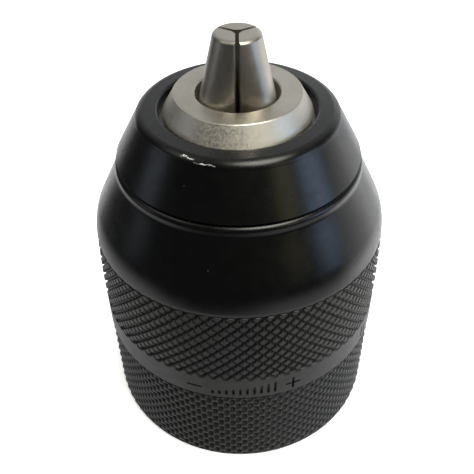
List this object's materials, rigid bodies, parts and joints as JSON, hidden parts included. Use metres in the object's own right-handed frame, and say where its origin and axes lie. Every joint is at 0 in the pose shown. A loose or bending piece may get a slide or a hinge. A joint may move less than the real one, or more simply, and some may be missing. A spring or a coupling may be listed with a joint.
{
  "type": "keyless drill chuck",
  "caption": "Keyless drill chuck with three self-centring steel jaws, a knurled black turning sleeve, a knurled rear grip and a threaded spindle hole.",
  "frame": {"origin": "centre of the rear face, where the chuck seats on the spindle shoulder", "axes": "+Z along the spindle axis from the rear face towards the jaws; +Y towards jaw 1; +X completes the right-handed frame"},
  "size_m": [0.0428, 0.0428, 0.0613],
  "materials": {
    "black_sleeve": "satin black oxide, diamond knurled",
    "black_cap": "satin black oxide, turned",
    "ground_steel": "turned and ground bright steel",
    "jaw_steel": "ground hardened steel",
    "nut_steel": "oiled machined steel",
    "race_steel": "lapped hardened steel",
    "ball_steel": "polished",
    "cage_brass": "stamped, satin",
    "cover_steel": "zinc plated",
    "spring_steel": "phosphated spring steel",
    "washer_fibre": "oiled fibre"
  },
  "bodies": {
    "body": {"body": "ground_steel", "nose_cap": "black_cap", "cap_snap_ring": "spring_steel", "dust_washer": "washer_fibre", "rear_sleeve": "black_sleeve", "dust_cover": "cover_steel", "dust_cover_clip": "spring_steel", "bearing_back_race": "race_steel"},
    "sleeve": {"front_sleeve": "black_sleeve", "nut_collar": "nut_steel", "nut_half_left": "nut_steel", "nut_half_right": "nut_steel", "bearing_front_race": "race_steel"},
    "cage": {"bearing_cage": "cage_brass", "bearing_balls": "ball_steel"},
    "jaw_1": {"jaw_1": "jaw_steel"},
    "jaw_2": {"jaw_2": "jaw_steel"},
    "jaw_3": {"jaw_3": "jaw_steel"}
  },
  "joints": [
    {"name": "sleeve_turn", "type": "hinge", "parent": "body", "child": "sleeve", "pos_m": [0, 0, 0.0286], "axis": [0, 0, 1], "range_deg": [0, 4490.37]},
    {"name": "cage_turn", "type": "hinge", "parent": "body", "child": "cage", "pos_m": [0, 0, 0.0224], "axis": [0, 0, 1], "range_deg": [0, 2246.19]},
    {"name": "jaw_1_slide", "type": "slide", "parent": "body", "child": "jaw_1", "axis": [0, 0.2672, -0.9636], "range_m": [0, 0.01873]},
    {"name": "jaw_2_slide", "type": "slide", "parent": "body", "child": "jaw_2", "axis": [-0.2314, -0.1336, -0.9636], "range_m": [0, 0.01873]},
    {"name": "jaw_3_slide", "type": "slide", "parent": "body", "child": "jaw_3", "axis": [0.2314, -0.1336, -0.9636], "range_m": [0, 0.01873]}
  ],
  "couplings": [
    {"joint": "jaw_1_slide", "follows": "sleeve_turn", "m_per_rad": 0.00023873},
    {"joint": "jaw_2_slide", "follows": "sleeve_turn", "m_per_rad": 0.00023873},
    {"joint": "jaw_3_slide", "follows": "sleeve_turn", "m_per_rad": 0.00023873},
    {"joint": "cage_turn", "follows": "sleeve_turn", "ratio": 0.5}
  ]
}
